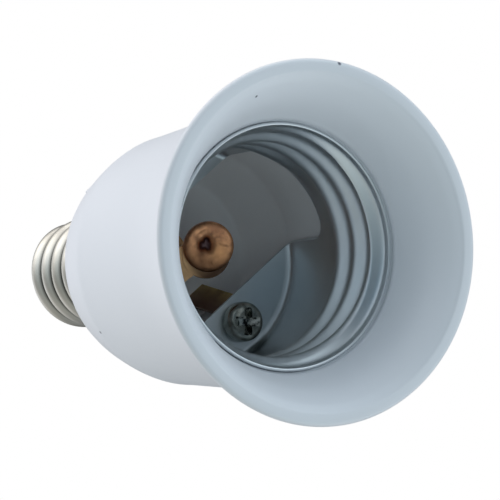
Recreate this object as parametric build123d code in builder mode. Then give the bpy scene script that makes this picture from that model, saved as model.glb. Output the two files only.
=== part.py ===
from build123d import *
import os

os.makedirs("parts", exist_ok=True)

# Lamp socket adapter: a small Edison cap (14 mm) below, a large Edison socket (27 mm) above.
# Millimetres. Z is the axis of both threads and points out of the mouth; z = 0 is the tip of the cap.

# Cap, the small thread
cap_root = 6.2               # outside radius between the ridges
cap_sheet = 0.35
small_depth = 0.7            # height of the ridge
small_pitch = 2.822          # 9 turns to the inch
small_start_z = 4.9
small_turns = 6.5
small_start_angle = 92
collar_step = 0.03           # collar over the crests of the thread
collar_length = 2.9
cap_end_z = 4.3              # rounded lower end of the metal
end_round = 1.15
end_lip = 0.35               # flat ring between the round and the hole in that end

# Cap's insulator, tip and lead
insulator_fit = 0.05
insulator_height = 1.6       # inside the cap, over the end of the metal
insulator_tip_z = 1.5
insulator_tip_radius = 3.5
tip_radius = 3.0
tip_thickness = 0.6
solder_radius = 1.9
lead_radius = 0.45
lead_clearance = 0.35
sleeve_radius = 1.0

# Housing
total_length = 65.0          # tip of the cap to the rim of the mouth
rim_radius = 20.4
lip_width = 1.6              # flat front of the rim
lip_round = 0.55
lip_edge = 0.15              # small chamfer where the lip meets the dish
dish_depth = 7.6
back_z = 26.7                # flat back face that the cap butts against
back_inset = 2.25            # back face inside the shoulder
back_round = 0.45
shoulder_height = 8.1        # of the rounded part over the back face
floor_thickness = 2.1
well_round = 3.05            # floor of the well inside the bore
boss_width = 6.4
boss_inset = 0.7             # boss behind the inner edge of the screw's head
neck_fit = 0.15              # between the spigot and the cap
neck_wall = 0.8
neck_gap = 2.3               # free height between the cap's insulator and the spigot
spare = 1.0                  # how far a cut runs past the face that it leaves by

# Threaded shell of the large socket, pressed from sheet
sheet = 0.4
shell_root = 13.35           # inside radius between the ridges
large_depth = 1.05           # height of the ridge
large_pitch = 3.629          # 7 turns to the inch
large_start = 12.65          # start of the ridge below the shell's edge
large_turns = 2.95
large_start_angle = 75
band_step = 0.35             # plain mouth band outside the root
band_length = 1.0
shell_join = 0.7             # height of the step between band and wall
shell_inset = 0.1            # shell's edge below the dish
bore_clearance = 0.3         # between the shell and the hole it sits in
mouth_clearance = 0.32       # the same at the band
wall = 0.95                  # housing beside the bore, at the shoulder
tab_height = 7.1             # over the floor of the well
tab_step = 0.65              # straight edge of a tab inside its screw's head
window_height = 8.0          # over the tabs
window_round = 2.2

# Screws in the two tabs
screw_gap = 1.25             # head to the shell's wall
screw_head_radius = 2.4
screw_head_height = 2.0
screw_head_round = 0.35
screw_shank_radius = 1.2
screw_length = 5.2
screw_point = 0.5
recess_depth = 1.2
recess_length = 3.1
recess_width = 0.75
recess_angle = 50            # one arm of the cross, from +X
pilot_clearance = 0.05
hole_clearance = 0.3

# Side contact strip
strip_thickness = 0.4
strip_width = 3.5
strip_y = 0.45
strip_end = 1.9              # past the screw's axis
strip_eye_radius = 2.2
strip_foot = 0.45            # foot turned out under the spigot
slot_margin = 0.2            # free width on either side of the strip

# Centre contact: folded copper leaf with a riveted button
leaf_thickness = 0.4
leaf_width = 3.8
leaf_foot_y = 3.2
leaf_fold_y = -7.6
leaf_fold_radius = 1.3       # to the middle of the sheet
leaf_slope = 22              # degrees
leaf_eye_radius = 2.9        # round end of the leaf, which the button doesn't quite cover
leaf_eye_shift = 0.75        # of that end from the button's axis, away from the second tab
button_radius = 3.05
button_height = 1.15
button_round = 0.45
button_y = 2.45              # middle of the button's underside
button_shank = 0.8
button_rivet_radius = 1.35
button_rivet_height = 0.35
dimple_radius = 1.15
dimple_depth = 0.75
rivet_radius = 1.0           # hollow rivet through the leaf's foot and the floor
rivet_head_radius = 1.7
rivet_head_height = 0.35
rivet_clearance = 0.05

# What follows from these sizes
cap_crest = cap_root + small_depth
cap_inside = cap_root - cap_sheet
cap_mouth = cap_root - end_round - end_lip
collar_radius = cap_crest + collar_step
insulator_radius = cap_mouth - insulator_fit
insulator_top_z = cap_end_z + insulator_height
neck_radius = cap_inside - neck_fit
neck_bore = neck_radius - neck_wall
neck_end_z = insulator_top_z + neck_gap
floor_z = back_z + floor_thickness
side_z = back_z + shoulder_height
tab_top_z = floor_z + tab_height
tab_under_z = tab_top_z - sheet
window_top_z = tab_top_z + window_height
shell_edge_z = total_length - dish_depth - shell_inset
shell_outside = shell_root + sheet
shell_crest = shell_root - large_depth
shell_band = shell_root + band_step
large_start_z = shell_edge_z - large_start
band_low = shell_edge_z - band_length
band_join = band_low - shell_join
bore_radius = shell_outside + bore_clearance
mouth_radius = shell_band + sheet + mouth_clearance
side_radius = bore_radius + wall
back_radius = side_radius - back_inset
floor_radius = bore_radius - well_round
screw_x = shell_root - screw_gap - screw_head_radius
head_edge_x = screw_x - screw_head_radius
tab_edge_x = head_edge_x - tab_step
boss_front_x = head_edge_x + boss_inset
strip_drop_x = head_edge_x
strip_neck_x = neck_bore
strip_foot_x = strip_neck_x + strip_foot
well_z = tab_under_z - 0.4


def between(low, high, share):
    """The point this share of the way from low to high, outwards and upwards."""
    return (low[0] + (high[0] - low[0]) * share[0], low[1] + (high[1] - low[1]) * share[1])


# The cavity is built first: the dish, the bore and the rounded well, less two bosses for the screws.
with BuildPart() as cavity:
    with BuildSketch(Plane.XZ):
        with BuildLine():
            dish_low = (mouth_radius, total_length - dish_depth)
            dish_top = (rim_radius - lip_width, total_length - lip_edge)
            l1 = Line((0, floor_z), (floor_radius - 0.8, floor_z))
            well_low = (floor_radius + 0.35, floor_z + 0.65)
            well_top = (bore_radius, well_z)
            l2 = Line(l1 @ 1, well_low)
            l3 = Spline(well_low, between(well_low, well_top, (0.667, 0.52)), well_top,
                        tangents=((1, 1.3), (0, 1)))
            l4 = Line(l3 @ 1, (bore_radius, band_join - bore_clearance))
            l5 = Polyline(l4 @ 1, (mouth_radius, band_low - bore_clearance), dish_low)
            l6 = Spline(dish_low, between(dish_low, dish_top, (0.235, 0.349)),
                        between(dish_low, dish_top, (0.475, 0.651)), dish_top,
                        tangents=((0.28, 1), (1, 0.85)))
            over = total_length + spare
            l7 = Polyline(dish_top, (dish_top[0], over), (0, over), (0, floor_z))
        make_face()
    revolve(axis=Axis.Z)
    for side, top_z in ((1, tab_under_z - strip_thickness), (-1, tab_under_z)):
        with BuildSketch(Plane.XY.offset(floor_z - spare)):
            with Locations((side * (boss_front_x + bore_radius / 2), 0)):
                Rectangle(bore_radius, boss_width)
        extrude(amount=top_z - floor_z + spare, mode=Mode.SUBTRACT)

# Housing, one white moulding: flared mouth, bowl-shaped body, and the spigot inside the cap.
with BuildPart() as housing:
    with BuildSketch(Plane.XZ):
        with BuildLine():
            o1 = Line((0, back_z), (back_radius - back_round, back_z))
            back_edge = (back_radius, back_z + back_round)
            shoulder = (side_radius, side_z)
            rim_edge = (rim_radius - 0.12, total_length - 0.75)
            side = [between(shoulder, rim_edge, share) for share in
                    ((0.057, 0.177), (0.142, 0.397), (0.237, 0.601), (0.436, 0.801), (0.682, 0.92))]
            o2 = Line(o1 @ 1, back_edge)
            o3 = Spline(back_edge, between(back_edge, shoulder, (0.444, 0.36)), shoulder,
                        tangents=((0.45, 1), (0.16, 1)))
            o4 = Spline(shoulder, *side, rim_edge, tangents=((0.03, 1), (0.75, 1)))
            o5 = Polyline(rim_edge, (rim_radius, total_length - 0.5),
                          (rim_radius - 0.12, total_length - 0.18), (rim_radius - lip_round, total_length))
            o6 = Line(o5 @ 1, (rim_radius - lip_width + 0.25, total_length))
            o7 = Line(o6 @ 1, (rim_radius - lip_width, total_length - lip_edge))
            o8 = Polyline(o7 @ 1, (0, total_length - lip_edge), (0, back_z))
        make_face()
    revolve(axis=Axis.Z)
    with BuildSketch(Plane.XY.offset(neck_end_z)):
        Circle(neck_radius)
    extrude(amount=back_z - neck_end_z + floor_thickness / 2)
    add(cavity.part, mode=Mode.SUBTRACT)
    with BuildSketch(Plane.XY.offset(neck_end_z)):
        Circle(neck_bore)
    extrude(amount=back_z - neck_end_z, mode=Mode.SUBTRACT)
    # pilot holes in the bosses
    with BuildSketch(Plane.XY.offset(tab_top_z - screw_length - 0.6)):
        with Locations((screw_x, 0), (-screw_x, 0)):
            Circle(screw_shank_radius + pilot_clearance)
    extrude(amount=screw_length + 2 * spare, mode=Mode.SUBTRACT)
    # slot for the side strip, through the floor and down one side of the spigot
    slot_near_x = strip_neck_x - strip_thickness / 2 - 2.5 * slot_margin
    slot_far_x = neck_radius + slot_margin
    with BuildSketch(Plane.XY.offset(neck_end_z - spare)):
        with Locations(((slot_near_x + slot_far_x) / 2, strip_y)):
            Rectangle(slot_far_x - slot_near_x, strip_width + 2 * slot_margin)
    extrude(amount=floor_z - neck_end_z + 2 * spare, mode=Mode.SUBTRACT)
    # hole for the leaf's rivet
    with BuildSketch(Plane.XY.offset(back_z - spare)):
        Circle(rivet_radius + rivet_clearance)
    extrude(amount=floor_z - back_z + 2 * spare, mode=Mode.SUBTRACT)
housing.part.label = "housing"
export_step(housing.part, "parts/housing.step")


def thread_ridge(pitch, turns, radius, start_z, points):
    """A helical solid: points are (radius, z from the middle) of the cut through it."""
    with BuildPart() as ridge:
        with BuildLine() as path:
            Helix(pitch=pitch, height=pitch * turns, radius=radius, center=(0, 0, start_z))
        line = path.line
        with BuildSketch(Plane(origin=line @ 0, x_dir=(1, 0, 0), z_dir=line % 0)):
            Polygon(*[(r - radius, z) for r, z in points], align=None)
        sweep(path=line, is_frenet=True)
    return ridge.part


# Threaded shell: a cup of thin sheet with a rolled thread, its bottom cut away between two tabs.
inner_ridge = thread_ridge(large_pitch, large_turns, shell_crest, large_start_z,
                           [(shell_root + sheet * 0.375, -1.3), (shell_root + sheet * 0.375, 1.3),
                            (shell_crest, 0.45), (shell_crest, -0.45)])
with BuildPart() as screw_shell:
    # the ridge stops below the plain mouth band
    add(inner_ridge, rotation=(0, 0, large_start_angle))
    with BuildSketch(Plane.XY.offset(tab_top_z + spare)):
        Circle(shell_root + spare)
    extrude(amount=band_low - 0.15 - tab_top_z - spare, mode=Mode.INTERSECT)
    with BuildSketch(Plane.XZ):
        with BuildLine():
            s1 = Line((0, tab_under_z), (shell_outside - 1.0, tab_under_z))
            s2 = Polyline(s1 @ 1, (shell_outside - 0.3, tab_under_z + 0.3),
                          (shell_outside, tab_under_z + 1.0))
            s3 = Polyline(s2 @ 1, (shell_outside, band_join), (shell_band + sheet, band_low),
                          (shell_band + sheet, shell_edge_z), (shell_band, shell_edge_z),
                          (shell_band, band_low), (shell_root, band_join), (shell_root, tab_top_z + 0.6))
            s4 = Polyline(s3 @ 1, (shell_root - 0.18, tab_top_z + 0.18), (shell_root - 0.6, tab_top_z),
                          (0, tab_top_z), (0, tab_under_z))
        make_face()
    revolve(axis=Axis.Z)
    with BuildSketch(Plane.XZ):
        with Locations((0, (window_top_z + floor_z) / 2)):
            Rectangle(2 * tab_edge_x, window_top_z - floor_z)
        corners = [v for v in vertices() if v.Z > window_top_z - 0.1]
        fillet(corners, window_round)
    extrude(amount=shell_outside + spare, both=True, mode=Mode.SUBTRACT)
    with BuildSketch(Plane.XY.offset(tab_under_z - spare)):
        with Locations((screw_x, 0), (-screw_x, 0)):
            Circle(screw_shank_radius + hole_clearance)
    extrude(amount=sheet + 2 * spare, mode=Mode.SUBTRACT)
screw_shell.part.label = "screw_shell"
export_step(screw_shell.part, "parts/screw_shell.step")

# Two cross-recess pan-head screws, alike, through the tabs into the bosses.
with BuildPart() as shell_screws:
    with Locations((screw_x, 0, tab_top_z), (-screw_x, 0, tab_top_z)):
        Cylinder(screw_head_radius, screw_head_height, align=(Align.CENTER, Align.CENTER, Align.MIN))
    tops = shell_screws.faces().filter_by(Plane.XY).group_by(Axis.Z)[-1].edges()
    chamfer(tops, screw_head_round, 2 * screw_head_round)
    with Locations((screw_x, 0, tab_top_z), (-screw_x, 0, tab_top_z)):
        Cylinder(screw_shank_radius, screw_length, align=(Align.CENTER, Align.CENTER, Align.MAX))
    ends = shell_screws.faces().filter_by(Plane.XY).group_by(Axis.Z)[0].edges()
    chamfer(ends, screw_point)
    with BuildSketch(Plane.XY.offset(tab_top_z + screw_head_height - recess_depth)):
        with Locations((screw_x, 0), (-screw_x, 0)):
            Rectangle(recess_length, recess_width, rotation=recess_angle)
            Rectangle(recess_width, recess_length, rotation=recess_angle)
    extrude(amount=recess_depth + spare, mode=Mode.SUBTRACT)
shell_screws.part.label = "shell_screws"
export_step(shell_screws.part, "parts/shell_screws.step")

# Side contact: a brass strip clamped under one tab, bent down through the floor's slot and along the
# spigot, with its foot turned out under the spigot's end towards the cap.
strip_mid_z = tab_under_z - strip_thickness / 2
with BuildPart() as side_strip:
    with BuildSketch(Plane.XZ.offset(-strip_y - strip_width / 2)):
        with BuildLine() as run:
            FilletPolyline((screw_x + strip_end, strip_mid_z), (strip_drop_x, strip_mid_z),
                           (strip_neck_x, floor_z - 0.6), (strip_neck_x, neck_end_z - 0.3),
                           (strip_foot_x, neck_end_z - 0.3), radius=0.3)
        trace(line_width=strip_thickness)
    extrude(amount=strip_width)
    with BuildSketch(Plane.XY.offset(tab_under_z - strip_thickness)):
        with Locations((screw_x, 0)):
            Circle(strip_eye_radius)
    extrude(amount=strip_thickness)
    with BuildSketch(Plane.XY.offset(tab_under_z - strip_thickness - spare)):
        with Locations((screw_x, 0)):
            Circle(screw_shank_radius + hole_clearance)
    extrude(amount=strip_thickness + 2 * spare, mode=Mode.SUBTRACT)
side_strip.part.label = "side_strip"
export_step(side_strip.part, "parts/side_strip.step")

# Centre contact leaf: foot on the floor, one fold, and an arm that rises back over the axis.
foot_mid_z = floor_z + leaf_thickness / 2
fold_centre = Vector(0, leaf_fold_y, foot_mid_z + leaf_fold_radius)
arm_dir = Vector(0, 1, 0).rotate(Axis.X, leaf_slope)
arm_up = Vector(0, 0, 1).rotate(Axis.X, leaf_slope)
arm_start = fold_centre + arm_up * leaf_fold_radius
arm_run = (button_y - arm_start.Y) / arm_dir.Y
arm_under = arm_start + arm_dir * arm_run           # middle of the sheet below the button
with BuildPart() as contact_leaf:
    with BuildSketch(Plane.YZ.offset(-leaf_width / 2)):
        with BuildLine():
            f1 = Line((leaf_foot_y, foot_mid_z), (leaf_fold_y, foot_mid_z))
            fold_out = (leaf_fold_y - leaf_fold_radius * 0.98, fold_centre.Z + leaf_fold_radius * 0.2)
            f2 = ThreePointArc(f1 @ 1, fold_out, (arm_start.Y, arm_start.Z))
            f3 = Line(f2 @ 1, (arm_under.Y, arm_under.Z))
        trace(line_width=leaf_thickness)
    extrude(amount=leaf_width)
    leaf_end = Plane(origin=arm_under, x_dir=(1, 0, 0), z_dir=arm_up)
    with BuildSketch(leaf_end.offset(-leaf_thickness / 2)):
        with Locations((leaf_eye_shift, -leaf_eye_shift)):
            Circle(leaf_eye_radius)
    extrude(amount=leaf_thickness)
    with BuildSketch(leaf_end.offset(-leaf_thickness)):
        Circle(button_shank + rivet_clearance)
    extrude(amount=2 * leaf_thickness, mode=Mode.SUBTRACT)
    with BuildSketch(Plane.XY.offset(floor_z - leaf_thickness)):
        Circle(rivet_radius + rivet_clearance)
    extrude(amount=3 * leaf_thickness, mode=Mode.SUBTRACT)
contact_leaf.part.label = "contact_leaf"
export_step(contact_leaf.part, "parts/contact_leaf.step")

# Contact button: a round copper head with a punched dimple, riveted through the end of the leaf.
button_base = leaf_end.offset(leaf_thickness / 2)
with BuildPart() as contact_button:
    with BuildSketch(button_base):
        Circle(button_radius)
    extrude(amount=button_height)
    rim_edges = contact_button.edges().filter_by(GeomType.CIRCLE).sort_by(Axis.Z)
    chamfer(rim_edges[-1], button_round)
    with BuildSketch(button_base.offset(button_height)):
        Circle(dimple_radius)
    extrude(amount=-dimple_depth, taper=38, mode=Mode.SUBTRACT)
    with BuildSketch(button_base.offset(-leaf_thickness)):
        Circle(button_shank)
    extrude(amount=leaf_thickness)
    with BuildSketch(button_base.offset(-leaf_thickness - button_rivet_height)):
        Circle(button_rivet_radius)
    extrude(amount=button_rivet_height)
contact_button.part.label = "contact_button"
export_step(contact_button.part, "parts/contact_button.step")

# Hollow rivet that holds the leaf's foot on the floor and takes the lead from below.
foot_top_z = floor_z + leaf_thickness
with BuildPart() as leaf_rivet:
    with BuildSketch(Plane.XY.offset(foot_top_z)):
        Circle(rivet_head_radius)
    extrude(amount=rivet_head_height)
    with BuildSketch(Plane.XY.offset(back_z)):
        Circle(rivet_radius)
    extrude(amount=foot_top_z - back_z)
    with BuildSketch(Plane.XY.offset(back_z - rivet_head_height)):
        Circle(rivet_head_radius)
    extrude(amount=rivet_head_height)
    with BuildSketch(Plane.XY.offset(back_z - spare)):
        Circle(lead_radius + rivet_clearance)
    extrude(amount=foot_top_z - back_z + 2 * spare, mode=Mode.SUBTRACT)
leaf_rivet.part.label = "leaf_rivet"
export_step(leaf_rivet.part, "parts/leaf_rivet.step")

# Cap: thin plated metal with a rolled thread, a plain collar against the housing and a rounded end.
cap_ridge = thread_ridge(small_pitch, small_turns, cap_crest, small_start_z,
                         [(cap_inside - 0.85, -0.655 * small_pitch),
                          (cap_inside - 0.85, 0.655 * small_pitch),
                          (cap_crest, 0.15 * small_pitch), (cap_crest, -0.15 * small_pitch)])
collar_low_z = back_z - collar_length
with BuildPart() as e14_cap:
    add(cap_ridge, rotation=(0, 0, small_start_angle))
    # the ridge runs out into the rounded end below and under the collar above
    with BuildSketch(Plane.XZ):
        with BuildLine():
            Polyline((0, cap_end_z), (cap_root - end_round, cap_end_z), (cap_root, cap_end_z + 0.45),
                     (cap_crest + 0.1, cap_end_z + 1.8), (cap_crest + 0.1, collar_low_z - 1.6),
                     (cap_root, collar_low_z - 0.4), (0, collar_low_z - 0.4), close=True)
        make_face()
    revolve(axis=Axis.Z, mode=Mode.INTERSECT)
    with BuildSketch(Plane.XZ):
        with BuildLine():
            c1 = Polyline((0, back_z), (collar_radius, back_z), (collar_radius, collar_low_z),
                          (cap_root, collar_low_z - 0.5), (cap_root, cap_end_z + 1.4))
            Polyline(c1 @ 1, (cap_root - 0.33, cap_end_z + 0.4), (cap_root - end_round, cap_end_z),
                     (0, cap_end_z), (0, back_z))
        make_face()
    revolve(axis=Axis.Z)
    with BuildSketch(Plane.XZ):
        Polygon((0, cap_end_z - spare), (cap_mouth, cap_end_z - spare), (cap_mouth, cap_end_z + cap_sheet),
                (cap_inside - 0.85, cap_end_z + cap_sheet), (cap_inside, cap_end_z + 1.3),
                (cap_inside, back_z + spare), (0, back_z + spare), align=None)
    revolve(axis=Axis.Z, mode=Mode.SUBTRACT)
e14_cap.part.label = "e14_cap"
export_step(e14_cap.part, "parts/e14_cap.step")

# Black insulator in the cap's end: a cone outside, a disc inside, and a hole for the lead.
lead_hole = lead_radius + lead_clearance
with BuildPart() as cap_insulator:
    with BuildSketch(Plane.XZ):
        with BuildLine():
            Polyline((lead_hole, insulator_tip_z), (insulator_tip_radius, insulator_tip_z),
                     (insulator_radius, cap_end_z - 0.35), (insulator_radius, cap_end_z + 0.4),
                     (insulator_radius - 0.15, cap_end_z + 0.4), (insulator_radius - 0.15, insulator_top_z),
                     (lead_hole, insulator_top_z), close=True)
        make_face()
    revolve(axis=Axis.Z)
cap_insulator.part.label = "cap_insulator"
export_step(cap_insulator.part, "parts/cap_insulator.step")

# Tip: a brass washer on the insulator, closed by a drop of solder that holds the lead.
with BuildPart() as tip_contact:
    with BuildSketch(Plane.XZ):
        Polygon((lead_hole, insulator_tip_z), (tip_radius, insulator_tip_z),
                (tip_radius, insulator_tip_z - tip_thickness / 2),
                (tip_radius - 0.45, insulator_tip_z - tip_thickness),
                (lead_hole, insulator_tip_z - tip_thickness), align=None)
    revolve(axis=Axis.Z)
tip_contact.part.label = "tip_contact"
export_step(tip_contact.part, "parts/tip_contact.step")

solder_z = insulator_tip_z - tip_thickness
with BuildPart() as tip_solder:
    with BuildSketch(Plane.XZ):
        Polygon((0, 0), (solder_radius * 0.45, solder_z * 0.08), (solder_radius * 0.8, solder_z * 0.42),
                (solder_radius, solder_z), (0, solder_z), align=None)
    revolve(axis=Axis.Z)
tip_solder.part.label = "tip_solder"
export_step(tip_solder.part, "parts/tip_solder.step")

# Lead from the leaf's rivet to the tip, and the sleeve that keeps it off the side strip.
with BuildPart() as centre_lead:
    with BuildSketch(Plane.XY.offset(solder_z)):
        Circle(lead_radius)
    extrude(amount=foot_top_z + 0.2 - solder_z)
centre_lead.part.label = "centre_lead"
export_step(centre_lead.part, "parts/centre_lead.step")

with BuildPart() as lead_sleeve:
    with BuildSketch(Plane.XY.offset(insulator_top_z)):
        Circle(sleeve_radius)
        Circle(lead_radius + rivet_clearance, mode=Mode.SUBTRACT)
    extrude(amount=back_z - rivet_head_height - insulator_top_z)
lead_sleeve.part.label = "lead_sleeve"
export_step(lead_sleeve.part, "parts/lead_sleeve.step")
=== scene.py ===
import math

import bmesh
import bpy
from mathutils import Matrix, Vector, noise
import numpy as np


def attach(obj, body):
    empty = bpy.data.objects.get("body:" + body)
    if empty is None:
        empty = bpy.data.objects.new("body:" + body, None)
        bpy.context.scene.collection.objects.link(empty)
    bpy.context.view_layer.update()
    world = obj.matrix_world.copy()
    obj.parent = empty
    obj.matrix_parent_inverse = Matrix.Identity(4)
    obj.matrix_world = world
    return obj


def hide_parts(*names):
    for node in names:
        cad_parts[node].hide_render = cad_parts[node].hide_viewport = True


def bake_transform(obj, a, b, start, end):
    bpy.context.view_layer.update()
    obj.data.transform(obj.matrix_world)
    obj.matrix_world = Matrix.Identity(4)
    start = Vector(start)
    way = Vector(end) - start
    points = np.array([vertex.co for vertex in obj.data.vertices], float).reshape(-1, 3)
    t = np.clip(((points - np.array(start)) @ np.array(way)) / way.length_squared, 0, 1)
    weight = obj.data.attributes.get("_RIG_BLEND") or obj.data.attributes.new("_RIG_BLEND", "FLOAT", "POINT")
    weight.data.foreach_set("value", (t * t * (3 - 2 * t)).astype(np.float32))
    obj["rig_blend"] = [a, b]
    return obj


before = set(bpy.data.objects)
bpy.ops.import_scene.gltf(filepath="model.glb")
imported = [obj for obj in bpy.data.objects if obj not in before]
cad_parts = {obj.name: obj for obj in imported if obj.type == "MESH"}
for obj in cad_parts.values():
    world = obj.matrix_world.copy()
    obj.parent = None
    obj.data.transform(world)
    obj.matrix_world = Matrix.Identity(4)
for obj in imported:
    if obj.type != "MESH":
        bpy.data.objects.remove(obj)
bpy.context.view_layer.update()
scene = bpy.context.scene


# Camera: a long lens about a third of a metre from the mouth, looking down into it.
# The roll puts the adapter's axis across the picture, cap to the left.
camera = bpy.data.objects.new("camera", bpy.data.cameras.new("camera"))
scene.collection.objects.link(camera)
camera_right = Vector((0.5587, 0.6606, 0.5015))
camera_up = Vector((-0.7862, 0.6143, 0.0668))
camera_back = Vector((-0.2639, -0.4316, 0.8626))
camera.matrix_world = Matrix.Translation((-0.0880, -0.1433, 0.3369)) @ Matrix(
    (camera_right, camera_up, camera_back)).transposed().to_4x4()
camera.data.lens = 208.8
camera.data.sensor_width = 36
camera.data.shift_x = -0.0085
camera.data.shift_y = -0.0044
camera.data.clip_start = 0.01
camera.data.clip_end = 20
scene.camera = camera


# Studio: a white tent that glows from its sides and is dim where the camera looks in, one broad soft
# lamp, and a plain white floor well below the adapter, which hangs in its lampholder in use.
scene.view_settings.view_transform = "Standard"

# Each panel's middle lies to the camera's right, up and back by these shares, and glows in this colour.
tent_panels = (
    ((-1, -1, -1), (0.58, 0.59, 0.61)), ((-1, -1, 0), (0.40, 0.40, 0.39)),
    ((-1, 0, -1), (0.92, 0.97, 1.06)), ((-1, 0, 1), (0.34, 0.37, 0.37)),
    ((-1, 1, 0), (2.35, 2.30, 2.30)), ((-1, 1, 1), (0.08, 0.20, 0.30)),
    ((0, -1, 1), (0.46, 0.50, 0.48)), ((0, 0, 1), (0.09, 0.13, 0.16)),
    ((1, -1, 0), (1.12, 1.20, 1.27)), ((1, -1, 1), (0.24, 0.34, 0.38)),
    ((1, 0, 0), (0.31, 0.33, 0.35)), ((1, 0, 1), (0.16, 0.18, 0.19)),
    ((1, 1, 0), (1.45, 1.68, 1.84)))
panel_falloff = 6
world = bpy.data.worlds.new("studio")
scene.world = world
world.use_nodes = True
nodes, links = world.node_tree.nodes, world.node_tree.links
nodes.clear()
direction = nodes.new("ShaderNodeTexCoord")
glow_so_far = None
for (to_right, to_up, to_back), colour in tent_panels:
    middle = (camera_right * to_right + camera_up * to_up + camera_back * to_back).normalized()
    facing = nodes.new("ShaderNodeVectorMath")
    facing.operation = "DOT_PRODUCT"
    facing.inputs[1].default_value = middle
    ahead = nodes.new("ShaderNodeMath")
    ahead.operation = "MAXIMUM"
    ahead.inputs[1].default_value = 0
    soft_edge = nodes.new("ShaderNodeMath")
    soft_edge.operation = "POWER"
    soft_edge.inputs[1].default_value = panel_falloff
    lit = nodes.new("ShaderNodeVectorMath")
    lit.operation = "MULTIPLY_ADD"
    lit.inputs[1].default_value = colour
    links.new(direction.outputs["Generated"], facing.inputs[0])
    links.new(facing.outputs["Value"], ahead.inputs[0])
    links.new(ahead.outputs["Value"], soft_edge.inputs[0])
    links.new(soft_edge.outputs["Value"], lit.inputs[0])
    if glow_so_far:
        links.new(glow_so_far, lit.inputs[2])
    glow_so_far = lit.outputs["Vector"]
tent_light = nodes.new("ShaderNodeBackground")
white = nodes.new("ShaderNodeBackground")
white.inputs["Color"].default_value = (1, 1, 1, 1)
seen = nodes.new("ShaderNodeLightPath")
choose = nodes.new("ShaderNodeMixShader")
world_out = nodes.new("ShaderNodeOutputWorld")
links.new(glow_so_far, tent_light.inputs["Color"])
links.new(seen.outputs["Is Camera Ray"], choose.inputs["Fac"])
links.new(tent_light.outputs["Background"], choose.inputs[1])
links.new(white.outputs["Background"], choose.inputs[2])
links.new(choose.outputs["Shader"], world_out.inputs["Surface"])

adapter_middle = Vector((0, 0, 0.04))
lamp_data = bpy.data.lights.new("lamp_over", "AREA")
lamp_data.size = 0.6
lamp_data.energy = 1.5
lamp = bpy.data.objects.new("lamp_over", lamp_data)
scene.collection.objects.link(lamp)
lamp.location = camera_up * 0.9 - camera_back * 0.35 + adapter_middle
lamp.rotation_euler = (adapter_middle - lamp.location).to_track_quat("-Z", "Y").to_euler()

floor_reach, floor_height = 3, -0.4
floor_material = bpy.data.materials.new("floor_white")
floor_material.use_nodes = True
nodes, links = floor_material.node_tree.nodes, floor_material.node_tree.links
paint = nodes["Principled BSDF"]
paint.inputs["Base Color"].default_value = (0.9, 0.9, 0.9, 1)
paint.inputs["Roughness"].default_value = 0.8
glow = nodes.new("ShaderNodeEmission")
glow.inputs["Color"].default_value = (1, 1, 1, 1)
seen = nodes.new("ShaderNodeLightPath")
straight_ray = nodes.new("ShaderNodeMath")
straight_ray.operation = "MAXIMUM"
blend_floor = nodes.new("ShaderNodeMixShader")
links.new(seen.outputs["Is Camera Ray"], straight_ray.inputs[0])
links.new(seen.outputs["Is Transmission Ray"], straight_ray.inputs[1])
links.new(straight_ray.outputs["Value"], blend_floor.inputs["Fac"])
links.new(paint.outputs["BSDF"], blend_floor.inputs[1])
links.new(glow.outputs["Emission"], blend_floor.inputs[2])
links.new(blend_floor.outputs["Shader"], nodes["Material Output"].inputs["Surface"])
floor_mesh = bmesh.new()
bmesh.ops.create_grid(floor_mesh, x_segments=1, y_segments=1, size=floor_reach,
                      matrix=Matrix.Translation((0, 0, floor_height)))
floor_data = bpy.data.meshes.new("floor")
floor_mesh.to_mesh(floor_data)
floor_mesh.free()
floor = bpy.data.objects.new("floor", floor_data)
floor_data.materials.append(floor_material)
scene.collection.objects.link(floor)
floor.visible_diffuse = False
floor.visible_glossy = False
floor.visible_shadow = False


# Housing: one injection moulding in white thermoplastic with a light gloss. The dish flares out to a
# flat lip, the body drops straight to a crisp line and then rounds in to the back face.
MM = 0.001


def points(*pairs):
    """Profile points from pairs of numbers in millimetres."""
    return [Vector(pair) for pair in pairs]


def hermite(stops, first, last, parts):
    """Points of a smooth line through stops, leaving along first and arriving along last."""
    slopes = [Vector(first).normalized()]
    slopes += [(Vector(b) - Vector(a)).normalized() for a, b in zip(stops, stops[2:])]
    slopes.append(Vector(last).normalized())
    line = []
    for i in range(len(stops) - 1):
        a, b = Vector(stops[i]), Vector(stops[i + 1])
        reach = (b - a).length
        for j in range(parts):
            t = j / parts
            line.append(a * (2 * t**3 - 3 * t**2 + 1) + slopes[i] * reach * (t**3 - 2 * t**2 + t)
                        + b * (3 * t**2 - 2 * t**3) + slopes[i + 1] * reach * (t**3 - t**2))
    return line + [Vector(stops[-1])]


def arc(centre, radius, start, end, parts):
    """Points of an arc about centre, angles in degrees from the outward direction."""
    angles = [math.radians(start + (end - start) * i / parts) for i in range(parts + 1)]
    return [Vector((centre[0] + radius * math.cos(a), centre[1] + radius * math.sin(a))) for a in angles]


def spun(profile, steps, closed=True):
    """A bmesh of the profile, (radius, z) in millimetres, turned once round the axis."""
    mesh = bmesh.new()
    ring = [mesh.verts.new((p[0] * MM, 0, p[1] * MM)) for p in profile]
    pairs = list(zip(ring, ring[1:])) + ([(ring[-1], ring[0])] if closed else [])
    edges = [mesh.edges.new(pair) for pair in pairs]
    bmesh.ops.spin(mesh, geom=ring + edges, cent=(0, 0, 0), axis=(0, 0, 1), angle=2 * math.pi, steps=steps,
                   use_merge=True)
    bmesh.ops.remove_doubles(mesh, verts=mesh.verts, dist=1e-7)
    bmesh.ops.recalc_face_normals(mesh, faces=mesh.faces)
    return mesh


def block(mesh, centre, size):
    """Adds a box of this size about centre, both in millimetres, to the mesh."""
    place = Matrix.Translation([c * MM for c in centre])
    bmesh.ops.create_cube(mesh, size=1, matrix=place @ Matrix.Diagonal([s * MM for s in size] + [1]))


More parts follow.
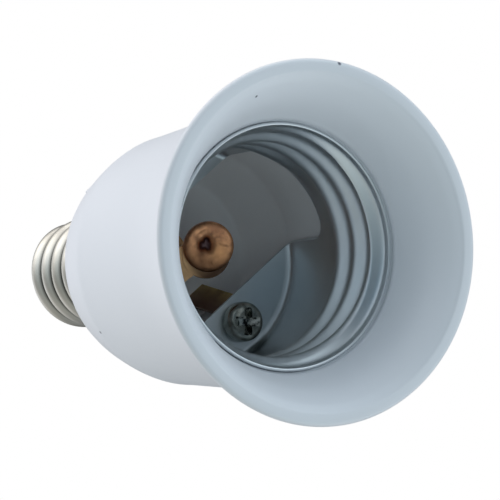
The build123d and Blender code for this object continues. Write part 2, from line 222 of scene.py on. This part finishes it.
def rounded(mesh, edges, radius, segments):
    """Rounds the edges of the mesh to radius, in millimetres."""
    bmesh.ops.bevel(mesh, geom=edges, offset=radius * MM, segments=segments, affect="EDGES", profile=0.5,
                    material=-1)


def piece(name, mesh, material, sharp=40):
    """The bmesh as an object at the origin, smooth but for edges sharper than sharp degrees."""
    data = bpy.data.meshes.new(name)
    mesh.to_mesh(data)
    mesh.free()
    data.materials.append(material)
    data.shade_smooth()
    data.set_sharp_from_angle(angle=math.radians(sharp))
    made = bpy.data.objects.new(name, data)
    scene.collection.objects.link(made)
    return made


def mottle_group():
    """Slow uneven colour and fine grain, from noise in the piece's own coordinates."""
    group = bpy.data.node_groups.new("mottle", "ShaderNodeTree")
    for label, value in (("Scale", 120.0), ("Contrast", 1.0), ("Grain scale", 1500.0)):
        socket = group.interface.new_socket(label, in_out="INPUT", socket_type="NodeSocketFloat")
        socket.default_value = value
    group.interface.new_socket("Mask", in_out="OUTPUT", socket_type="NodeSocketFloat")
    group.interface.new_socket("Grain", in_out="OUTPUT", socket_type="NodeSocketFloat")
    inside, wires = group.nodes, group.links
    source, sink = inside.new("NodeGroupInput"), inside.new("NodeGroupOutput")
    place = inside.new("ShaderNodeTexCoord")
    slow, fine = inside.new("ShaderNodeTexNoise"), inside.new("ShaderNodeTexNoise")
    slow.inputs["Detail"].default_value = 4
    fine.inputs["Detail"].default_value = 2
    spread = inside.new("ShaderNodeMath")
    spread.operation = "MULTIPLY_ADD"
    centre = inside.new("ShaderNodeMath")
    centre.operation = "SUBTRACT"
    centre.inputs[1].default_value = 0.5
    spread.inputs[2].default_value = 0.5
    spread.use_clamp = True
    wires.new(place.outputs["Object"], slow.inputs["Vector"])
    wires.new(place.outputs["Object"], fine.inputs["Vector"])
    wires.new(source.outputs["Scale"], slow.inputs["Scale"])
    wires.new(source.outputs["Grain scale"], fine.inputs["Scale"])
    wires.new(slow.outputs["Fac"], centre.inputs[0])
    wires.new(centre.outputs["Value"], spread.inputs[0])
    wires.new(source.outputs["Contrast"], spread.inputs[1])
    wires.new(spread.outputs["Value"], sink.inputs["Mask"])
    wires.new(fine.outputs["Fac"], sink.inputs["Grain"])
    return group


mottle = mottle_group()


def finish(name, light, dark, metallic, smooth, rough, scale=120.0, contrast=2.0, grain=1500.0, bump=0.0):
    """A material whose colour runs from light to dark and whose roughness runs from smooth to rough."""
    made = bpy.data.materials.new(name)
    made.use_nodes = True
    tree = made.node_tree
    shader = tree.nodes["Principled BSDF"]
    shader.inputs["Metallic"].default_value = metallic
    uneven = tree.nodes.new("ShaderNodeGroup")
    uneven.node_tree = mottle
    uneven.inputs["Scale"].default_value = scale
    uneven.inputs["Contrast"].default_value = contrast
    uneven.inputs["Grain scale"].default_value = grain
    tint = tree.nodes.new("ShaderNodeMix")
    tint.data_type = "RGBA"
    tint.inputs[6].default_value = (*light, 1)
    tint.inputs[7].default_value = (*dark, 1)
    gloss = tree.nodes.new("ShaderNodeMapRange")
    gloss.inputs["To Min"].default_value = smooth
    gloss.inputs["To Max"].default_value = rough
    tree.links.new(uneven.outputs["Mask"], tint.inputs[0])
    tree.links.new(tint.outputs[2], shader.inputs["Base Color"])
    tree.links.new(uneven.outputs["Grain"], gloss.inputs["Value"])
    tree.links.new(gloss.outputs["Result"], shader.inputs["Roughness"])
    if bump:
        relief = tree.nodes.new("ShaderNodeBump")
        relief.inputs["Strength"].default_value = bump
        relief.inputs["Distance"].default_value = 0.00002
        tree.links.new(uneven.outputs["Grain"], relief.inputs["Height"])
        tree.links.new(relief.outputs["Normal"], shader.inputs["Normal"])
    return made


def stain(material, mask, colour):
    """Lays colour over what the material has, as far as mask, a socket that runs from 0 to 1, says."""
    tree = material.node_tree
    base = tree.nodes["Principled BSDF"].inputs["Base Color"]
    over = tree.nodes.new("ShaderNodeMix")
    over.data_type = "RGBA"
    over.inputs[7].default_value = (*colour, 1)
    tree.links.new(mask, over.inputs[0])
    tree.links.new(base.links[0].from_socket, over.inputs[6])
    tree.links.new(over.outputs[2], base)


def marked(material, name):
    """The mask that a piece's vertices carry in their attribute name."""
    mask = material.node_tree.nodes.new("ShaderNodeAttribute")
    mask.attribute_name = name
    return mask.outputs["Fac"]


white_plastic = finish("white_plastic", (0.87, 0.88, 0.915), (0.85, 0.86, 0.895), 0.0, 0.3, 0.42,
                       scale=60, contrast=2.5, grain=900, bump=0.15)

# Down in the well the plastic is painted lighter and warmer: painted warm light. Three tiny dark
# specks are moulded into it, two on the flare and one on the shoulder.
stain(white_plastic, marked(white_plastic, "well"), (0.95, 0.91, 0.90))
nodes, links = white_plastic.node_tree.nodes, white_plastic.node_tree.links
place = nodes.new("ShaderNodeTexCoord")
specks = (((-0.82, -14.98, 34.89), 0.24), ((-13.74, 14.69, 64.93), 0.3), ((-16.94, 4.40, 63.64), 0.22))
for spot, radius in specks:
    away = nodes.new("ShaderNodeVectorMath")
    away.operation = "DISTANCE"
    away.inputs[1].default_value = Vector(spot) * MM
    shade = nodes.new("ShaderNodeMapRange")
    shade.inputs["From Min"].default_value = radius * MM
    shade.inputs["From Max"].default_value = radius * 0.4 * MM
    links.new(place.outputs["Object"], away.inputs[0])
    links.new(away.outputs["Value"], shade.inputs["Value"])
    stain(white_plastic, shade.outputs["Result"], (0.10, 0.10, 0.14))

well_radius, well_floor, back_face, rivet_hole = 14.05, 28.8, 26.7, 1.05
spigot_inside, spigot_outside, spigot_end = 4.9, 5.7, 8.2
outside_line = (hermite([(12.75, 27.15), (13.75, 29.9), (15.0, 34.8)], (0.45, 1), (0.16, 1), 10)
                + hermite([(15.0, 34.8), (15.3, 40.0), (15.75, 46.5), (16.25, 52.5), (17.3, 58.4),
                           (18.6, 61.9), (20.22, 64.2)], (0.03, 1), (0.7, 1), 8)[1:]
                + arc((19.85, 64.46), 0.54, -20, 90, 8)[1:])
dish_line = hermite([(18.8, 64.85), (17.8, 64.0), (16.4, 62.05), (15.4, 60.0), (14.42, 57.4)],
                    (-1, -0.72), (-0.3, -1), 8)
well_line = (points((14.42, 57.32), (14.37, 57.0), (14.17, 56.85), (14.15, 56.3), (well_radius, 55.4),
                    (well_radius, 45.0))
             + hermite([(well_radius, 35.1), (13.15, 32.4), (11.35, 29.55), (10.2, well_floor)],
                       (0, -1), (-1, -0.02), 8))
spigot_line = points((9.0, well_floor), (6.0, well_floor), (3.0, well_floor), (rivet_hole, well_floor),
                     (rivet_hole, back_face), (spigot_inside, back_face), (spigot_inside, spigot_end),
                     (spigot_outside, spigot_end), (spigot_outside, back_face), (12.3, back_face))
housing_line = (outside_line + points((19.1, 65.0), (18.9, 64.95)) + dish_line + well_line + spigot_line
                + arc((12.3, 27.15), 0.45, -90, 0, 5)[1:-1])
moulding = spun(housing_line, 192)
# This mask marks the well's inner wall and floor, where warm light is painted on the plastic.
well_light_mask = moulding.verts.layers.float.new("well")
for vertex in moulding.verts:
    radius, height = math.hypot(vertex.co.x, vertex.co.y) / MM, vertex.co.z / MM
    on_inner_wall = radius < min(12.9 + (height - 29) * 0.2, 14.2)
    vertex[well_light_mask] = 1.0 if 28.7 < height < 46 and on_inner_wall else 0.0
housing = piece("housing_moulding", moulding, white_plastic, sharp=32)
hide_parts("housing")
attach(housing, "socket")

# The two bosses that carry the shell's tabs are part of the same moulding.
boss_foot = 28.4
bosses = bmesh.new()
for side, top in ((1, 35.1), (-1, 35.5)):
    block(bosses, (side * 10.6, 0, (top + boss_foot) / 2), (5.2, 6.4, top - boss_foot))
rounded(bosses, bosses.edges[:], 0.3, 3)
bosses = piece("housing_bosses", bosses, white_plastic)
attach(bosses, "socket")


# Threaded shell: plated sheet, 0.4 mm thick, drawn to a cup and rolled with the large thread.
# Its bottom is cut away to leave two tabs, and its mouth is opened into a short plain band.
def clamp(value):
    """The value, kept between 0 and 1."""
    return min(max(value, 0), 1)


def thread_depth(angle, z, pitch, start_angle, start_z, turns, lead_in, lead_out, fullness):
    """How far a rolled thread stands at this angle (degrees) and height, from 0 to 1."""
    share = ((angle - start_angle) % 360) / 360
    turn = round((z - start_z) / pitch - share)
    done = turn + share
    off = (z - start_z) / pitch - done
    rise = ((1 + math.cos(2 * math.pi * off)) / 2) ** fullness
    ease_in = clamp(done / lead_in)
    ease_out = clamp((turns - done) / lead_out)
    return rise * ease_in**2 * (3 - 2 * ease_in) * ease_out**2 * (3 - 2 * ease_out)


shell_metal = finish("plated_sheet", (0.70, 0.73, 0.75), (0.62, 0.65, 0.67), 1.0, 0.28, 0.42,
                     scale=90, contrast=2.0, grain=1800, bump=0.1)
sheet_inside, sheet_outside, tab_top, tab_under = 13.35, 13.75, 35.9, 35.5
thread_height, mouth_flare, mouth_taper = 1.05, 0.35, 9
wall_low, wall_high, wall_rows = 37.0, 55.5, 150
inner_wall = points(*((sheet_inside, wall_low + (wall_high - wall_low) * i / wall_rows)
                      for i in range(wall_rows + 1)))
outer_wall = [Vector((sheet_outside, p.y)) for p in inner_wall]
mouth_wall = []
for i in range(1, 14):
    share = min(i / mouth_taper, 1)
    mouth_wall.append(Vector((sheet_inside + mouth_flare * share**2 * (3 - 2 * share), wall_high + i * 0.12)))
shell_line = (points((0.5, tab_top), (4.0, tab_top), (8.0, tab_top), (11.0, tab_top), (12.2, tab_top))
              + arc((12.45, 36.8), 0.9, -90, 0, 9) + inner_wall + mouth_wall
              + arc((13.9, 57.1), 0.2, 180, 0, 8) + points((14.1, 56.4), (13.78, 55.6)) + outer_wall[::-1]
              + arc((12.75, 36.5), 1.0, 0, -90, 7) + points((0.5, tab_under)))
shell = spun(shell_line, 256)
for vertex in shell.verts:
    radius, height = math.hypot(vertex.co.x, vertex.co.y) / MM, vertex.co.z / MM
    if radius > 13 and 36.8 < height < 57.2:
        turned = math.degrees(math.atan2(vertex.co.y, vertex.co.x))
        depth = thread_depth(turned, height, pitch=3.629, start_angle=75, start_z=44.65, turns=3.25,
                             lead_in=0.14, lead_out=0.3, fullness=1.0)
        below_mouth = clamp((56.6 - height) / 1.0)
        scale = 1 - thread_height * depth * below_mouth / radius
        vertex.co.x *= scale
        vertex.co.y *= scale
shell = piece("threaded_shell", shell, shell_metal)

window_width, window_height, window_corner = 13.3, 13.9, 2.2
window = bmesh.new()
block(window, (0, 0, 36.95), (window_width, 40, window_height))
top_edges = [edge for edge in window.edges
             if all(end.co.z > 0.04 for end in edge.verts)
             and abs(edge.verts[0].co.x - edge.verts[1].co.x) < 1e-6]
rounded(window, top_edges, window_corner, 12)
window = piece("window_cutter", window, shell_metal)


def cut(target, tool):
    """Takes tool away from target for good and removes tool."""
    modifier = target.modifiers.new("cut", "BOOLEAN")
    modifier.operation = "DIFFERENCE"
    modifier.solver = "EXACT"
    modifier.object = tool
    result = bpy.data.meshes.new_from_object(target.evaluated_get(bpy.context.evaluated_depsgraph_get()))
    target.modifiers.clear()
    target.data = result
    bpy.data.objects.remove(tool)
    target.data.shade_smooth()
    target.data.set_sharp_from_angle(angle=math.radians(40))


cut(shell, window)
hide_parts("screw_shell")
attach(shell, "socket")


# Screws: two small pan heads with a cross recess, in steel with a dark, shiny plating.
# They clamp the shell's tabs to the bosses, one of them with the side strip under it.
screw_steel = finish("screw_steel", (0.46, 0.46, 0.41), (0.18, 0.18, 0.16), 1.0, 0.18, 0.3,
                     scale=700, contrast=3.4, grain=2600, bump=0.1)
# The recess material is near black with light flecks: painted shade down in the cross recess.
recess_shade = finish("screw_recess_shade", (0.80, 0.80, 0.74), (0.02, 0.02, 0.018), 1.0, 0.16, 0.3,
                    scale=1700, contrast=5.0, grain=3000, bump=0.2)
screw_place, head_top, recess_floor = 9.7, 37.9, 36.6
arm_length, arm_width, arm_height = 3.5, 1.1, 2.3
chipping, chip_scale, chip_seed = 0.17, 1500, 7
noise.seed_set(chip_seed)
screw_line = (points((0, head_top), (0.5, head_top), (1.2, 37.88))
              + hermite([(1.2, 37.88), (1.85, 37.74), (2.25, 37.4), (2.4, 36.9)], (1, 0), (0.05, -1), 6)[1:]
              + points((2.4, 36.0), (2.3, tab_top), (1.2, tab_top), (1.2, 31.2), (0.7, 30.7), (0, 30.7)))
for number, side in (("a", 1), ("b", -1)):
    head = spun(screw_line, 64, closed=False)
    bmesh.ops.translate(head, verts=head.verts, vec=(side * screw_place * MM, 0, 0))
    head = piece("tab_screw_" + number, head, screw_steel, sharp=50)
    for turn in (50, 140):
        arm = bmesh.new()
        block(arm, (0, 0, 0), (arm_length, arm_width, arm_height))
        bmesh.ops.subdivide_edges(arm, edges=arm.edges[:], cuts=5, use_grid_fill=True)
        for vertex in arm.verts:
            place = Vector((vertex.co.x * chip_scale + turn, vertex.co.y * chip_scale, side * 5))
            vertex.co.xy += noise.noise_vector(place).xy * chipping * MM
            sunk = max(-vertex.co.z, 0) / (arm_height / 2 * MM)
            vertex.co.x *= 1 - 0.6 * sunk
            vertex.co.y *= 1 - 0.4 * sunk
        bmesh.ops.rotate(arm, verts=arm.verts, cent=(0, 0, 0),
                         matrix=Matrix.Rotation(math.radians(turn), 3, "Z"))
        bmesh.ops.translate(arm, verts=arm.verts, vec=(side * screw_place * MM, 0, head_top * MM))
        cut(head, piece("recess_tool", arm, screw_steel))
    head.data.materials.clear()
    head.data.materials.append(screw_steel)
    head.data.materials.append(recess_shade)
    # Faces down in the cross recess take the painted shade material.
    for face in head.data.polygons:
        off = math.hypot(face.center.x - side * screw_place * MM, face.center.y)
        dome = 37.86 - 0.14 * max(off / MM - 1.2, 0) ** 2 / 0.42
        in_recess = off < 1.9 * MM and recess_floor * MM < face.center.z < dome * MM
        face.material_index = 1 if in_recess else 0
    if side == 1:
        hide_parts("shell_screws")
    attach(head, "socket")


# Side strip: tarnished brass, clamped under one tab, bent down through the floor to the cap.
# It is coloured darker brown towards one long edge.
def bent_sheet(line, across, width, thickness):
    """A sheet that follows line, (across, z) points of its middle, and is width wide."""
    mesh = bmesh.new()
    row = [mesh.verts.new(across(p)) for p in line]
    edges = [mesh.edges.new(pair) for pair in zip(row, row[1:])]
    grown = bmesh.ops.extrude_edge_only(mesh, edges=edges)
    moved = [v for v in grown["geom"] if isinstance(v, bmesh.types.BMVert)]
    bmesh.ops.translate(mesh, verts=moved, vec=width)
    bmesh.ops.recalc_face_normals(mesh, faces=mesh.faces)
    bmesh.ops.solidify(mesh, geom=mesh.faces[:], thickness=thickness)
    bmesh.ops.recalc_face_normals(mesh, faces=mesh.faces)
    return mesh


aged_brass = finish("aged_brass", (0.62, 0.46, 0.20), (0.24, 0.15, 0.07), 1.0, 0.26, 0.44,
                    scale=260, contrast=3.5, grain=2200, bump=0.2)
nodes, links = aged_brass.node_tree.nodes, aged_brass.node_tree.links
where = nodes.new("ShaderNodeTexCoord")
split = nodes.new("ShaderNodeSeparateXYZ")
# Darker brown towards one long edge of the strip.
across_strip = nodes.new("ShaderNodeMapRange")
across_strip.inputs["From Min"].default_value = 0.0020
across_strip.inputs["From Max"].default_value = -0.0005
links.new(where.outputs["Object"], split.inputs["Vector"])
links.new(split.outputs["Y"], across_strip.inputs["Value"])
stain(aged_brass, across_strip.outputs["Result"], (0.24, 0.15, 0.11))

strip_edge, strip_width, sheet = 0.45 - 1.75, 3.5, 0.4
strip_line = points((11.6, 35.3), (7.7, 35.3), (7.45, 35.22), (7.28, 35.0), (5.15, 28.9), (4.93, 28.2),
                    (4.9, 27.9), (4.9, 8.0), (5.3, 7.9))
strip = bent_sheet(strip_line, lambda p: (p.x * MM, strip_edge * MM, p.y * MM), (0, strip_width * MM, 0),
                   sheet * MM)
strip = piece("side_strip_brass", strip, aged_brass, sharp=30)
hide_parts("side_strip")
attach(strip, "socket")


# Centre contact: a copper alloy leaf folded over once, with a turned copper button riveted through
# its end. The leaf's round end is painted dark brown where it comes out from under the button: painted shade.
slope = math.radians(22)
fold_y, fold_z, fold_r = -7.6, 30.3, 1.3
along = Vector((math.cos(slope), math.sin(slope)))
upward = Vector((-math.sin(slope), math.cos(slope)))
arm_start = Vector((fold_y, fold_z)) + upward * fold_r
arm_end = arm_start + along * ((2.45 - arm_start.x) / along.x)
tilt = Matrix.Translation((0, arm_end.x * MM, arm_end.y * MM)) @ Matrix.Rotation(slope, 4, "X")
leaf_copper = finish("leaf_copper", (0.80, 0.47, 0.25), (0.50, 0.28, 0.14), 1.0, 0.28, 0.45,
                     scale=300, contrast=3.0, grain=2200, bump=0.2)
# The leaf's round end beside the button is painted dark brown: painted shade.
stain(leaf_copper, marked(leaf_copper, "eye_shade"), (0.10, 0.055, 0.035))
leaf_width, eye_radius, eye_off = 3.8, 2.9, 0.75
leaf_line = (points((3.2, 29.0), (fold_y, 29.0))
             + [Vector((fold_y + fold_r * math.cos(a), fold_z + fold_r * math.sin(a)))
                for a in [math.radians(-90 - (180 - 22) * i / 14) for i in range(1, 14)]]
             + [arm_start + (arm_end - arm_start) * i / 8 for i in range(9)])
leaf = bent_sheet(leaf_line, lambda p: (-leaf_width / 2 * MM, p.x * MM, p.y * MM), (leaf_width * MM, 0, 0),
                  sheet * MM)
bmesh.ops.create_cone(leaf, cap_ends=True, segments=72, radius1=eye_radius * MM, radius2=eye_radius * MM,
                      depth=0.39 * MM, matrix=tilt @ Matrix.Translation((eye_off * MM, -eye_off * MM, 0)))
leaf = piece("folded_leaf", leaf, leaf_copper, sharp=30)
# Mask of the painted shade on the leaf's round end.
eye_shade = leaf.data.attributes.new("eye_shade", "FLOAT", "POINT")
for vertex, value in zip(leaf.data.vertices, eye_shade.data):
    from_eye = math.hypot(vertex.co.x - eye_off * MM, vertex.co.y - 1.75 * MM)
    on_eye = from_eye < 3.1 * MM and vertex.co.x > 1.95 * MM and vertex.co.z > 33 * MM
    value.value = 1.0 if on_eye else 0.0
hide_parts("contact_leaf")
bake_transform(leaf, "socket", "contact", start=(0, 0, 0.0296), end=(0, 0, 0.0316))

# The button is struck in the middle with a punch, which leaves a rough dimple. The dimple is painted
# dark as painted shade, one side is painted darker as painted shade, and the other has a painted highlight.
button_copper = finish("button_copper", (0.98, 0.46, 0.23), (0.50, 0.22, 0.12), 1.0, 0.26, 0.44,
                       scale=900, contrast=3.4, grain=1700, bump=0.5)
# Painted shade in the dimple.
stain(button_copper, marked(button_copper, "hollow"), (0.15, 0.09, 0.09))
# Painted shade, darker towards one side of the button.
stain(button_copper, marked(button_copper, "side_shade"), (0.26, 0.12, 0.06))
# A bright orange patch: painted highlight.
stain(button_copper, marked(button_copper, "painted_glint"), (1.0, 0.47, 0.21))
face_height, face_edge, dimple_x, dimple_y = 1.02, 2.7, -0.42, -0.12
button_line = (points(*((r * 0.125, face_height) for r in range(17)))
               + hermite([(2.0, face_height), (2.72, 0.97), (2.98, 0.74), (3.04, 0.35)],
                         (1, 0), (0, -1), 6)[1:]
               + points((3.04, 0.06), (2.98, 0.0), (0.8, 0.0), (0.8, -0.4), (1.35, -0.4), (1.35, -0.75),
                        (0, -0.75)))
button = spun(button_line, 128, closed=False)
for vertex in button.verts:
    x, y = vertex.co.x / MM, vertex.co.y / MM
    if vertex.co.z > 0.3 * MM and math.hypot(x, y) < face_edge:
        dx, dy = x - dimple_x, y - dimple_y
        off, turned = math.hypot(dx, dy), math.atan2(dy, dx)
        edge = 0.72 * (1 + 0.17 * math.sin(3 * turned + 0.9) + 0.09 * math.sin(5 * turned + 2.1))
        hole = 0.62 / (1 + math.exp((off - edge) / 0.15))
        bowl = 0.26 * math.exp(-(off / 1.5) ** 3)
        dents = noise.noise((x * 1.3, y * 1.3, 3.0)) * 0.08 + noise.noise((x * 4.6, y * 4.6, 7.0)) * 0.022
        burr = 0.06 * math.exp(-((off - 1.2) / 0.28) ** 2) * (0.3 + 0.7 * max(math.cos(turned - 0.4), 0))
        fade = clamp((face_edge - math.hypot(x, y)) / 0.5)
        vertex.co.z += (dents * fade + burr - hole - bowl) * MM
on_leaf = tilt @ Matrix.Translation((0, 0, sheet / 2 * MM))
bmesh.ops.transform(button, matrix=on_leaf, verts=button.verts)
button = piece("copper_button", button, button_copper, sharp=60)
wear = button.data.attributes
for name in ("hollow", "side_shade", "painted_glint"):
    wear.new(name, "FLOAT", "POINT")
back_flat = on_leaf.inverted()
for vertex in button.data.vertices:
    x, y, z = back_flat @ vertex.co / MM
    if math.hypot(x - dimple_x, y - dimple_y) < 1.3:
        wear["hollow"].data[vertex.index].value = clamp((0.66 - z) / 0.3)
    if z > 0.3:
        wear["side_shade"].data[vertex.index].value = clamp(0.35 + 0.17 * x - 0.19 * y)
    if z > 0.5:
        wear["painted_glint"].data[vertex.index].value = 0.95 * math.exp(-((x - 1.1) ** 2 + (y - 0.6) ** 2) / 0.9)
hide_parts("contact_button")
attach(button, "contact")


# Cap: thin brass, nickel plated, rolled with the small thread and pressed on the spigot.
# The hollows between the crests are painted near black: painted shade.
cap_nickel = finish("nickel_cap", (0.68, 0.66, 0.61), (0.58, 0.555, 0.49), 1.0, 0.28, 0.4,
                    scale=160, contrast=2.6, grain=1800, bump=0.1)
cap_nickel.node_tree.nodes["Principled BSDF"].inputs["Specular Tint"].default_value = (0.6, 0.6, 0.58, 1)
# Painted shade in the hollows between the thread's crests.
stain(cap_nickel, marked(cap_nickel, "hollow"), (0.05, 0.05, 0.044))
root_radius, crest_height, cap_low, cap_high, cap_rows = 6.2, 0.7, 5.7, 23.2, 150
cap_wall = points(*((root_radius, cap_low + (cap_high - cap_low) * i / cap_rows)
                    for i in range(cap_rows + 1)))
cap_line = (points((4.7, 4.65), (4.7, 4.3), (5.05, 4.3))
            + arc((5.05, 5.45), 1.15, -90, 0, 10)[1:] + cap_wall[1:]
            + points((6.5, 23.5), (6.85, 23.72), (6.93, 23.85), (6.93, 26.62), (6.85, back_face),
                     (5.85, back_face), (5.85, 5.6), (5.0, 4.65)))
cap = spun(cap_line, 192)
hollow_shade = cap.verts.layers.float.new("hollow")
for vertex in cap.verts:
    radius, height = math.hypot(vertex.co.x, vertex.co.y) / MM, vertex.co.z / MM
    if radius > 5.9 and 4.4 < height < 23.3:
        turned = math.degrees(math.atan2(vertex.co.y, vertex.co.x))
        depth = thread_depth(turned, height, pitch=2.822, start_angle=92, start_z=4.9, turns=6.5,
                             lead_in=0.35, lead_out=0.3, fullness=0.65)
        vertex[hollow_shade] = clamp((0.5 - depth) / 0.36)
        scale = 1 + crest_height * depth / radius
        vertex.co.x *= scale
        vertex.co.y *= scale
cap = piece("nickel_cap", cap, cap_nickel)
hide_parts("e14_cap")
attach(cap, "socket")


# Cap's end: a black moulded insulator, a brass tip washer, and the drop of solder that closes it
# over the lead.
lead_hole, washer_seat, washer_face = 0.8, 1.5, 0.9
black_resin = finish("black_resin", (0.02, 0.02, 0.022), (0.035, 0.035, 0.038), 0.0, 0.18, 0.35,
                     scale=300, contrast=2.0, grain=1500, bump=0.15)
insulator_line = (points((lead_hole, washer_seat), (3.4, washer_seat))
                  + hermite([(3.4, washer_seat), (3.75, 1.9), (4.65, 3.95)], (1, 0.3), (0.3, 1), 5)[1:]
                  + points((4.65, 4.7), (4.5, 4.7), (4.5, 5.9), (lead_hole, 5.9)))
insulator = piece("insulator_cone", spun(insulator_line, 96), black_resin)
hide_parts("cap_insulator")
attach(insulator, "socket")

tip_brass = finish("tip_brass", (0.64, 0.50, 0.25), (0.48, 0.36, 0.17), 1.0, 0.22, 0.38,
                   scale=300, contrast=2.6, grain=1800, bump=0.15)
washer_line = (points((lead_hole, washer_seat), (lead_hole, washer_face), (2.5, washer_face))
               + arc((2.5, 1.3), 0.4, -90, -10, 5)[1:] + points((3.0, 1.35), (3.0, washer_seat)))
washer = piece("tip_washer", spun(washer_line, 96), tip_brass)
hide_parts("tip_contact")
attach(washer, "socket")

solder_grey = finish("solder_grey", (0.60, 0.60, 0.60), (0.42, 0.42, 0.43), 1.0, 0.3, 0.5,
                     scale=500, contrast=3.0, grain=2000, bump=0.3)
drop_line = (hermite([(0, 0), (1.18, 0.2), (1.9, washer_face)], (1, 0), (0.35, 1), 6)
             + points((0, washer_face)))
drop = piece("solder_drop", spun(drop_line, 64, closed=False), solder_grey, sharp=60)
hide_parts("tip_solder")
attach(drop, "socket")


# Inside the cap: the hollow rivet under the leaf, the lead and its sleeve keep their solids.
# The rivet is brass, the lead copper and its sleeve a pale, dull insulation.
sleeve_white = finish("sleeve_white", (0.72, 0.70, 0.62), (0.66, 0.63, 0.55), 0.0, 0.45, 0.6, scale=200)
for node, surface in (("leaf_rivet", tip_brass), ("centre_lead", leaf_copper), ("lead_sleeve", sleeve_white)):
    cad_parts[node].data.materials.clear()
    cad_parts[node].data.materials.append(surface)
